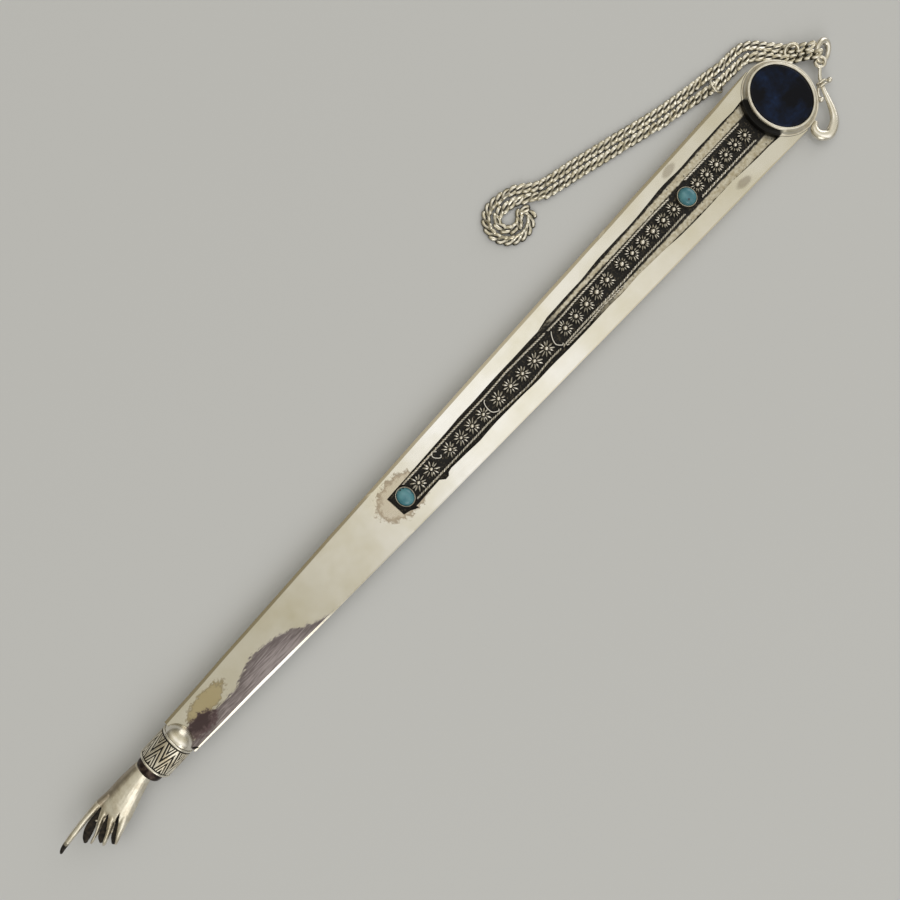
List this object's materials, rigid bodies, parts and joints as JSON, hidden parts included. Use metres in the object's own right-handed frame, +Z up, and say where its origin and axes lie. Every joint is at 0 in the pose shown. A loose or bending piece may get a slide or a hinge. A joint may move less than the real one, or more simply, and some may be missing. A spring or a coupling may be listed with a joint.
{
  "type": "torah pointer",
  "caption": "Silver torah pointer with a small pointing hand, a flat tapering blade with a filigree channel, an oval stone at its wide end and a fine chain on an S-shaped bail.",
  "frame": {"origin": "middle of the pointer's footprint on the table that it lies on, without the chain", "axes": "+X from the fingertip to the bail along the blade, +Y to the side that the chain lies on, +Z up from the table"},
  "size_m": [0.2125, 0.0396, 0.0074],
  "materials": {
    "silver_polished": "polished, worn, with warm tarnish",
    "silver_oxidised": "oxidised in the recesses",
    "silver_wire": "bright drawn wire over dark recesses",
    "silver_chain": "bright, slightly yellowed",
    "turquoise": "polished cabochon",
    "blue_stone": "polished flat top"
  },
  "bodies": {
    "pointer": {"hand": "silver_polished", "domed_cap": "silver_polished", "back_plate": "silver_polished", "front_plate": "silver_polished", "bezel": "silver_polished", "bail": "silver_polished", "core_pin": "silver_oxidised", "neck_ring": "silver_oxidised", "zigzag_collar": "silver_oxidised", "collar_front_rim": "silver_wire", "collar_back_rim": "silver_wire", "edge_wire_left_tip": "silver_wire", "edge_wire_right_tip": "silver_wire", "edge_wire_left_middle": "silver_wire", "edge_wire_right_middle": "silver_wire", "edge_wire_left_top": "silver_wire", "edge_wire_right_top": "silver_wire", "rosette_01": "silver_wire", "rosette_02": "silver_wire", "rosette_03": "silver_wire", "rosette_04": "silver_wire", "rosette_05": "silver_wire", "rosette_06": "silver_wire", "rosette_07": "silver_wire", "rosette_08": "silver_wire", "rosette_09": "silver_wire", "rosette_10": "silver_wire", "rosette_11": "silver_wire", "rosette_12": "silver_wire", "rosette_13": "silver_wire", "rosette_14": "silver_wire", "rosette_15": "silver_wire", "rosette_16": "silver_wire", "rosette_17": "silver_wire", "rosette_18": "silver_wire", "rosette_19": "silver_wire", "rosette_20": "silver_wire", "rosette_21": "silver_wire", "rosette_22": "silver_wire", "rosette_23": "silver_wire", "rosette_24": "silver_wire", "rosette_25": "silver_wire", "rosette_26": "silver_wire", "rosette_27": "silver_wire", "rosette_28": "silver_wire", "scroll_wire_1": "silver_wire", "scroll_wire_2": "silver_wire", "scroll_wire_3": "silver_wire", "turquoise_cup_tip": "silver_wire", "turquoise_cup_top": "silver_wire", "chain_out": "silver_chain", "chain_crook": "silver_chain", "chain_back": "silver_chain", "chain_ring": "silver_chain", "turquoise_tip": "turquoise", "turquoise_top": "turquoise", "oval_stone": "blue_stone"},
    "end_ring": {"end_ring": "silver_wire"},
    "ball_ended_wire": {"ball_ended_wire": "silver_wire"}
  },
  "joints": [
    {"name": "end_ring_swing", "type": "hinge", "parent": "pointer", "child": "end_ring", "pos_m": [0.10266, 0.00135, 0.00157], "axis": [0.8571, 0.515, -0.0124], "range_deg": [0, 60]},
    {"name": "ball_wire_swing", "type": "hinge", "parent": "pointer", "child": "ball_ended_wire", "pos_m": [0.0998, -0.00171, 0.00161], "axis": [0.4646, 0.8855, -0.0067], "range_deg": [-45, 15]}
  ]
}
